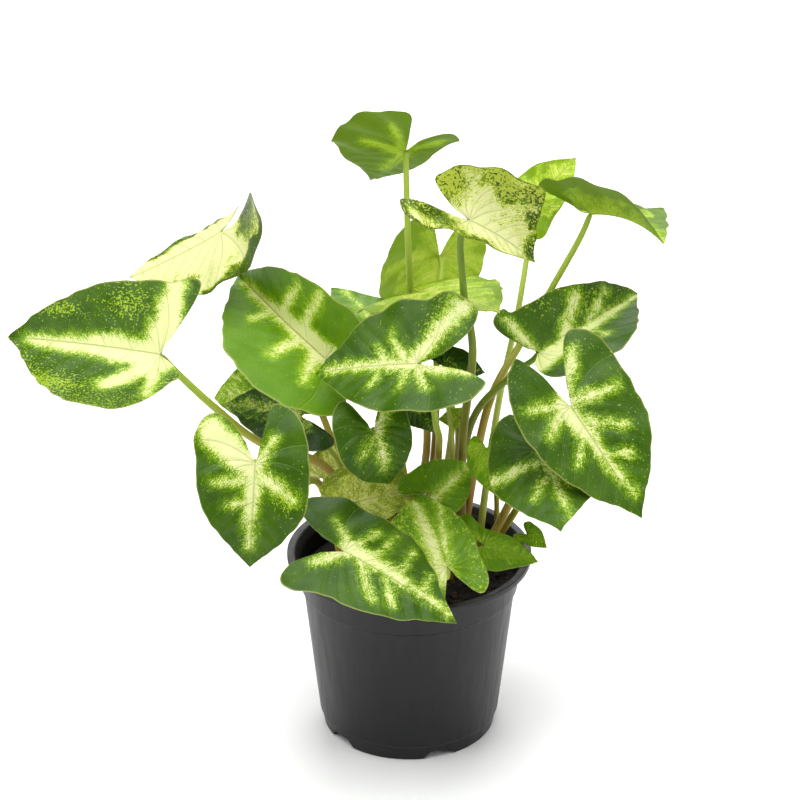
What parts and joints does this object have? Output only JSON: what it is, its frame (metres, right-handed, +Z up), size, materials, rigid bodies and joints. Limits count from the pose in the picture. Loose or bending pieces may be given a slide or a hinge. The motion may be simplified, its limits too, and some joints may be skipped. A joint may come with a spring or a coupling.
{
  "type": "potted arrowhead plant",
  "caption": "Potted arrowhead plant: variegated arrow-shaped leaves on slender stalks that rise from soil in a round tapered black nursery pot.",
  "frame": {"origin": "middle of the pot's flat base, on its axis, at the level of the surface it stands on", "axes": "+Z up along the pot's axis, -Y towards the plant's front, +X to the right as seen from the front"},
  "size_m": [0.3123, 0.1944, 0.318],
  "materials": {
    "leaf_green": "satin leaf, mottled cream along the veins",
    "leaf_bright": "satin leaf, yellow-green",
    "leaf_cream": "satin leaf, cream with green specks",
    "polypropylene_black": "satin moulded plastic",
    "potting_soil": "matt, crumbly"
  },
  "bodies": {
    "root": {"leaf_back_bright": "leaf_bright", "leaf_back_level": "leaf_bright", "leaf_back_right": "leaf_bright", "leaf_front_left": "leaf_green", "leaf_front_right": "leaf_bright", "leaf_inner_dark": "leaf_green", "leaf_left_cream": "leaf_cream", "leaf_left_large": "leaf_green", "leaf_left_low": "leaf_green", "leaf_left_outer": "leaf_green", "leaf_left_pale": "leaf_bright", "leaf_left_shaded": "leaf_green", "leaf_low_right": "leaf_bright", "leaf_middle_back": "leaf_green", "leaf_middle_dark": "leaf_green", "leaf_middle_front": "leaf_green", "leaf_middle_hanging": "leaf_green", "leaf_middle_low": "leaf_bright", "leaf_middle_yellow": "leaf_bright", "leaf_right_back": "leaf_green", "leaf_right_front": "leaf_green", "leaf_right_low": "leaf_green", "leaf_right_top": "leaf_green", "leaf_scale": "leaf_bright", "leaf_tiny_right": "leaf_bright", "leaf_top": "leaf_bright", "leaf_top_cream": "leaf_cream", "leaf_young_left": "leaf_cream", "leaf_young_right": "leaf_bright", "pot": "polypropylene_black", "soil": "potting_soil"}
  },
  "joints": []
}
